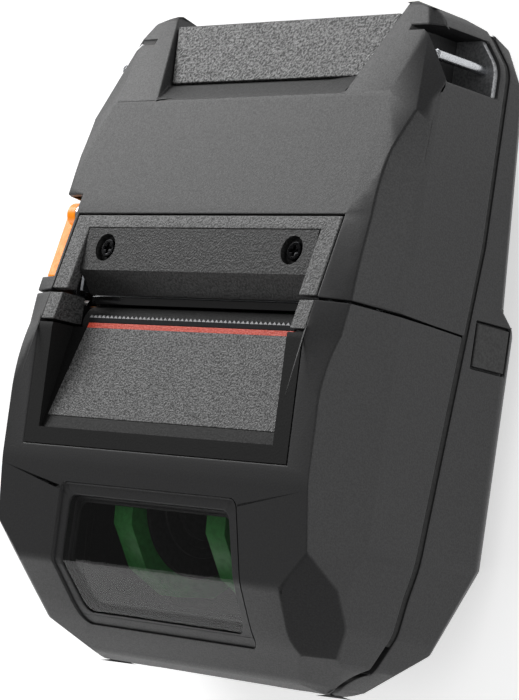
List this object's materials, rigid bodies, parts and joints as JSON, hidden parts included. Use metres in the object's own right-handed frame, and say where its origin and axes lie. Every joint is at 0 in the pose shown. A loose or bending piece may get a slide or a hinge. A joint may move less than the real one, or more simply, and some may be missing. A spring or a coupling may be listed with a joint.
{
  "type": "portable label printer",
  "caption": "Handheld label printer with a hinged roll cover, a window over the roll, an outlet ramp with a tear bar, a side lever, a removable battery and strap corners.",
  "frame": {"origin": "under the middle of the printer on the plane that its flat back rests on", "axes": "+X to the right across the printer as seen from its front, +Y along it from the cover hinge to the strap end, +Z out of its front"},
  "size_m": [0.1186, 0.1637, 0.0642],
  "materials": {
    "casing_grey": "satin",
    "casing_dark": "satin",
    "panel_black": "matte",
    "gasket_rubber": "matte",
    "window_smoke": "gloss",
    "screen_glass": "gloss",
    "circuit_board": "satin",
    "steel": "brushed",
    "black_screw": "satin",
    "head_ceramic": "gloss",
    "aluminium": "satin",
    "brass": "satin",
    "orange_lever": "satin",
    "green_guide": "satin",
    "black_gear": "satin",
    "platen_rubber": "matte",
    "ramp_grey": "satin",
    "battery_shell": "matte",
    "button_rubber": "matte"
  },
  "bodies": {
    "casing": {"front_casing": "casing_grey", "rear_casing": "casing_dark", "battery_tray": "casing_dark", "casing_gasket": "gasket_rubber", "top_panel": "panel_black", "display_window": "screen_glass", "display_module": "circuit_board", "control_board": "circuit_board", "head_bezel": "panel_black", "head_cover": "panel_black", "bezel_screws": "black_screw", "chassis": "steel", "main_board": "circuit_board", "motor": "steel", "gear_posts": "steel", "head_springs": "steel", "lever_spring": "steel", "roll_bucket": "ramp_grey", "guide_track": "black_gear", "hinge_pin": "steel", "battery_contacts": "brass", "belt_clip_inserts": "brass", "casing_screws": "black_screw", "strap_bars": "steel", "strap_plates": "casing_grey", "usb_port": "steel"},
    "cover": {"roll_cover": "casing_dark", "cover_window": "window_smoke", "outlet_frame": "ramp_grey", "exit_ramp": "ramp_grey", "corner_blocks": "panel_black", "tear_bar": "steel", "cover_screws": "black_screw", "media_sensor": "black_gear", "platen_bearings": "brass", "cover_keepers": "steel"},
    "platen": {"platen_roller": "platen_rubber", "platen_shaft": "steel", "platen_gear": "black_gear"},
    "motor_shaft": {"motor_pinion": "brass"},
    "reduction": {"reduction_gear": "black_gear"},
    "idler": {"idler_gear": "black_gear"},
    "lever": {"release_lever": "orange_lever", "release_shaft": "steel"},
    "head": {"print_head": "head_ceramic", "head_sink": "aluminium"},
    "left_guide": {"guide_left": "green_guide", "rack_left": "green_guide"},
    "right_guide": {"guide_right": "green_guide", "rack_right": "green_guide"},
    "left_hub": {"hub_left": "panel_black"},
    "right_hub": {"hub_right": "panel_black"},
    "pinion": {"guide_pinion": "black_gear"},
    "power": {"power_button": "button_rubber"},
    "feed": {"feed_button": "button_rubber"},
    "menu": {"menu_button": "button_rubber"},
    "battery": {"battery_pack": "battery_shell"},
    "latch": {"battery_latch": "battery_shell"},
    "port_flap": {"port_cover": "gasket_rubber"}
  },
  "joints": [
    {"name": "cover_hinge", "type": "hinge", "parent": "casing", "child": "cover", "pos_m": [0, -0.079, 0.0285], "axis": [1, 0, 0], "range_deg": [0, 95]},
    {"name": "platen_spin", "type": "hinge", "parent": "cover", "child": "platen", "pos_m": [0, -0.00075, 0.0498], "axis": [1, 0, 0], "continuous": true},
    {"name": "idler_spin", "type": "hinge", "parent": "casing", "child": "idler", "pos_m": [-0.0484, 0.00125, 0.03554], "axis": [1, 0, 0], "continuous": true},
    {"name": "reduction_spin", "type": "hinge", "parent": "casing", "child": "reduction", "pos_m": [-0.0496, 0.01386, 0.03332], "axis": [1, 0, 0], "continuous": true},
    {"name": "motor_spin", "type": "hinge", "parent": "casing", "child": "motor_shaft", "pos_m": [-0.046, 0.02847, 0.03751], "axis": [1, 0, 0], "continuous": true},
    {"name": "lever_pivot", "type": "hinge", "parent": "casing", "child": "lever", "pos_m": [0, 0.02775, 0.049], "axis": [-1, 0, 0], "range_deg": [0, 8], "stiffness_Nm_per_rad": 0.2},
    {"name": "head_float", "type": "hinge", "parent": "casing", "child": "head", "pos_m": [0, 0.00945, 0.0395], "axis": [-1, 0, 0], "range_deg": [0, 1.5], "stiffness_Nm_per_rad": 0.6},
    {"name": "guide_left_slide", "type": "slide", "parent": "casing", "child": "left_guide", "axis": [-1, 0, 0], "range_m": [0, 0.027]},
    {"name": "guide_right_slide", "type": "slide", "parent": "casing", "child": "right_guide", "axis": [1, 0, 0], "range_m": [0, 0.027]},
    {"name": "guide_pinion_spin", "type": "hinge", "parent": "casing", "child": "pinion", "pos_m": [0, -0.00925, 0.0087], "axis": [0, 0, -1], "range_deg": [0, 258]},
    {"name": "left_hub_spin", "type": "hinge", "parent": "left_guide", "child": "left_hub", "pos_m": [-0.0146, -0.04075, 0.031], "axis": [1, 0, 0], "continuous": true},
    {"name": "right_hub_spin", "type": "hinge", "parent": "right_guide", "child": "right_hub", "pos_m": [0.0146, -0.04075, 0.031], "axis": [1, 0, 0], "continuous": true},
    {"name": "power_press", "type": "slide", "parent": "casing", "child": "power", "axis": [0, -0.9606, 0.2781], "range_m": [0, 0.0008], "stiffness_N_per_m": 400},
    {"name": "feed_press", "type": "slide", "parent": "casing", "child": "feed", "axis": [0, -0.9606, 0.2781], "range_m": [0, 0.0008], "stiffness_N_per_m": 400},
    {"name": "menu_press", "type": "slide", "parent": "casing", "child": "menu", "axis": [0, -0.9606, 0.2781], "range_m": [0, 0.0008], "stiffness_N_per_m": 400},
    {"name": "battery_slide", "type": "slide", "parent": "casing", "child": "battery", "axis": [0, 0, -1], "range_m": [0, 0.014]},
    {"name": "battery_latch_slide", "type": "slide", "parent": "battery", "child": "latch", "axis": [0, -1, 0], "range_m": [0, 0.0025], "stiffness_N_per_m": 150},
    {"name": "port_cover_hinge", "type": "hinge", "parent": "casing", "child": "port_flap", "pos_m": [0.05775, 0.00325, 0.01925], "axis": [0, -1, 0], "range_deg": [0, 110]}
  ],
  "couplings": [
    {"joint": "idler_spin", "follows": "platen_spin", "ratio": -0.8},
    {"joint": "reduction_spin", "follows": "platen_spin", "ratio": 1.3333},
    {"joint": "motor_spin", "follows": "platen_spin", "ratio": -3.7333},
    {"joint": "guide_right_slide", "follows": "guide_left_slide", "ratio": 1},
    {"joint": "guide_pinion_spin", "follows": "guide_left_slide", "rad_per_m": 166.67}
  ]
}
